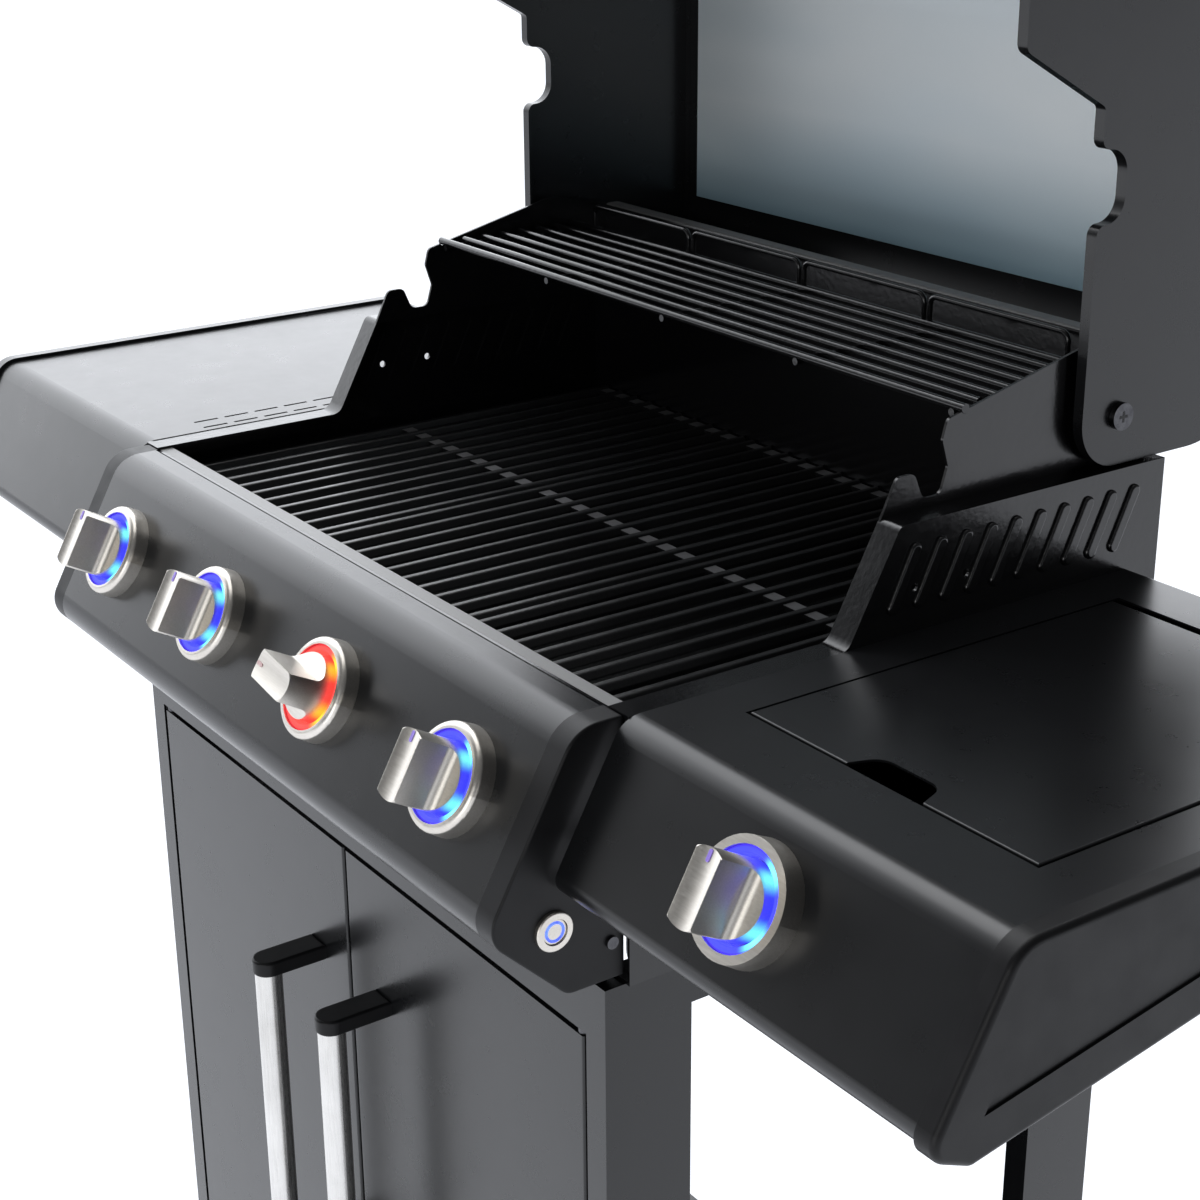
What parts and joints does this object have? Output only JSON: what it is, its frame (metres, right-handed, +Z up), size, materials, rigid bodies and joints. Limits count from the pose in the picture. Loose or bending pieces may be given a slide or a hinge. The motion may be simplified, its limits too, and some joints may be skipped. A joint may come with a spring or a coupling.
{
  "type": "gas barbecue grill",
  "caption": "Gas barbecue grill on a cabinet cart: open hinged hood, grates over burners, lit control knobs, side tables, side burner under a flap and cabinet doors.",
  "frame": {"origin": "on the floor under the middle of the object's bounding box in the rest pose, hood open", "axes": "+X to the user's right, +Y to the back, +Z up"},
  "size_m": [1.272, 0.6361, 1.4492],
  "materials": {
    "satin_black": "satin powder coat",
    "black_enamel": "glossy black enamel",
    "cast_black": "enamelled cast iron",
    "black_plastic": "satin black moulding",
    "nickel": "brushed nickel",
    "bright_steel": "bright sheet steel",
    "brass": "plain brass",
    "pipe": "plain aluminium tube",
    "diffuser": "translucent light ring",
    "ceramic": "white ceramic",
    "wheel_rubber": "black rubber"
  },
  "bodies": {
    "cart": {"control_panel": "satin_black", "left_shelf": "satin_black", "right_table": "satin_black", "cart_legs": "satin_black", "cart_rails": "satin_black", "bottom_shelf": "satin_black", "firebox_tub": "black_enamel", "firebox_end_left": "black_enamel", "firebox_end_right": "black_enamel", "warming_rack": "black_enamel", "side_burner_bowl": "black_enamel", "cooking_grates": "cast_black", "side_burner": "cast_black", "panel_end_left": "black_plastic", "panel_end_right": "black_plastic", "left_shelf_end": "black_plastic", "right_table_end": "black_plastic", "knob_bezels": "nickel", "button_ring": "nickel", "flame_tamers": "bright_steel", "burner_tubes": "bright_steel", "screws": "bright_steel", "door_hinge_pins": "bright_steel", "valves": "brass", "gas_pipes": "pipe", "light_rings": "diffuser", "igniters": "ceramic"},
    "lid": {"lid_shell": "satin_black", "lid_liner": "bright_steel", "lid_end_left": "satin_black", "lid_end_right": "satin_black", "lid_handle": "nickel", "thermometer": "nickel"},
    "left_door": {"door_left": "satin_black", "handle_tube_left": "nickel", "handle_caps_left": "black_plastic"},
    "right_door": {"door_right": "satin_black", "handle_tube_right": "nickel", "handle_caps_right": "black_plastic"},
    "flap": {"side_burner_flap": "satin_black"},
    "tray": {"grease_tray": "bright_steel"},
    "button": {"power_button": "nickel"},
    "plunger_1": {"valve_plunger_1": "brass"},
    "knob_1": {"knob_1": "nickel"},
    "plunger_2": {"valve_plunger_2": "brass"},
    "knob_2": {"knob_2": "nickel"},
    "plunger_3": {"valve_plunger_3": "brass"},
    "knob_3": {"knob_3": "nickel"},
    "plunger_4": {"valve_plunger_4": "brass"},
    "knob_4": {"knob_4": "nickel"},
    "plunger_5": {"valve_plunger_5": "brass"},
    "knob_5": {"knob_5": "nickel"},
    "fork_1": {"caster_fork_1": "bright_steel"},
    "wheel_1": {"caster_wheel_1": "wheel_rubber"},
    "fork_2": {"caster_fork_2": "bright_steel"},
    "wheel_2": {"caster_wheel_2": "wheel_rubber"},
    "fork_3": {"caster_fork_3": "bright_steel"},
    "wheel_3": {"caster_wheel_3": "wheel_rubber"},
    "fork_4": {"caster_fork_4": "bright_steel"},
    "wheel_4": {"caster_wheel_4": "wheel_rubber"}
  },
  "joints": [
    {"name": "lid_hinge", "type": "hinge", "parent": "cart", "child": "lid", "pos_m": [0, 0.18091, 1.0145], "axis": [1, 0, 0], "range_deg": [0, 90]},
    {"name": "left_door_hinge", "type": "hinge", "parent": "cart", "child": "left_door", "pos_m": [-0.293, -0.21759, 0.455], "axis": [0, 0, -1], "range_deg": [0, 105]},
    {"name": "right_door_hinge", "type": "hinge", "parent": "cart", "child": "right_door", "pos_m": [0.293, -0.21759, 0.455], "axis": [0, 0, 1], "range_deg": [0, 105]},
    {"name": "flap_hinge", "type": "hinge", "parent": "cart", "child": "flap", "pos_m": [0.472, 0.13841, 0.9], "axis": [-1, 0, 0], "range_deg": [0, 95]},
    {"name": "tray_slide", "type": "slide", "parent": "cart", "child": "tray", "axis": [0, 1, 0], "range_m": [0, 0.13]},
    {"name": "button_press", "type": "slide", "parent": "cart", "child": "button", "axis": [-1, 0, 0], "range_m": [0, 0.0015], "stiffness_N_per_m": 400},
    {"name": "knob_1_push", "type": "slide", "parent": "cart", "child": "plunger_1", "axis": [0, 0.8746, -0.4848], "range_m": [0, 0.004], "stiffness_N_per_m": 600},
    {"name": "knob_1_turn", "type": "hinge", "parent": "plunger_1", "child": "knob_1", "pos_m": [-0.24, -0.2698, 0.8535], "axis": [0, -0.8746, 0.4848], "range_deg": [0, 180]},
    {"name": "knob_2_push", "type": "slide", "parent": "cart", "child": "plunger_2", "axis": [0, 0.8746, -0.4848], "range_m": [0, 0.004], "stiffness_N_per_m": 600},
    {"name": "knob_2_turn", "type": "hinge", "parent": "plunger_2", "child": "knob_2", "pos_m": [-0.08, -0.2698, 0.8535], "axis": [0, -0.8746, 0.4848], "range_deg": [0, 180]},
    {"name": "knob_3_push", "type": "slide", "parent": "cart", "child": "plunger_3", "axis": [0, 0.8746, -0.4848], "range_m": [0, 0.004], "stiffness_N_per_m": 600},
    {"name": "knob_3_turn", "type": "hinge", "parent": "plunger_3", "child": "knob_3", "pos_m": [0.08, -0.2698, 0.8535], "axis": [0, -0.8746, 0.4848], "range_deg": [-84, 96]},
    {"name": "knob_4_push", "type": "slide", "parent": "cart", "child": "plunger_4", "axis": [0, 0.8746, -0.4848], "range_m": [0, 0.004], "stiffness_N_per_m": 600},
    {"name": "knob_4_turn", "type": "hinge", "parent": "plunger_4", "child": "knob_4", "pos_m": [0.24, -0.2698, 0.8535], "axis": [0, -0.8746, 0.4848], "range_deg": [0, 180]},
    {"name": "knob_5_push", "type": "slide", "parent": "cart", "child": "plunger_5", "axis": [0, 0.8746, -0.4848], "range_m": [0, 0.004], "stiffness_N_per_m": 600},
    {"name": "knob_5_turn", "type": "hinge", "parent": "plunger_5", "child": "knob_5", "pos_m": [0.472, -0.23542, 0.866], "axis": [0, -0.8746, 0.4848], "range_deg": [0, 180]},
    {"name": "caster_1_swivel", "type": "hinge", "parent": "cart", "child": "fork_1", "pos_m": [-0.28, -0.18159, 0.105], "axis": [0, 0, 1], "continuous": true},
    {"name": "caster_1_roll", "type": "hinge", "parent": "fork_1", "child": "wheel_1", "pos_m": [-0.28, -0.15759, 0.035], "axis": [1, 0, 0], "continuous": true},
    {"name": "caster_2_swivel", "type": "hinge", "parent": "cart", "child": "fork_2", "pos_m": [0.28, -0.18159, 0.105], "axis": [0, 0, 1], "continuous": true},
    {"name": "caster_2_roll", "type": "hinge", "parent": "fork_2", "child": "wheel_2", "pos_m": [0.28, -0.15759, 0.035], "axis": [1, 0, 0], "continuous": true},
    {"name": "caster_3_swivel", "type": "hinge", "parent": "cart", "child": "fork_3", "pos_m": [-0.28, 0.16841, 0.105], "axis": [0, 0, 1], "continuous": true},
    {"name": "caster_3_roll", "type": "hinge", "parent": "fork_3", "child": "wheel_3", "pos_m": [-0.28, 0.19241, 0.035], "axis": [1, 0, 0], "continuous": true},
    {"name": "caster_4_swivel", "type": "hinge", "parent": "cart", "child": "fork_4", "pos_m": [0.28, 0.16841, 0.105], "axis": [0, 0, 1], "continuous": true},
    {"name": "caster_4_roll", "type": "hinge", "parent": "fork_4", "child": "wheel_4", "pos_m": [0.28, 0.19241, 0.035], "axis": [1, 0, 0], "continuous": true}
  ]
}
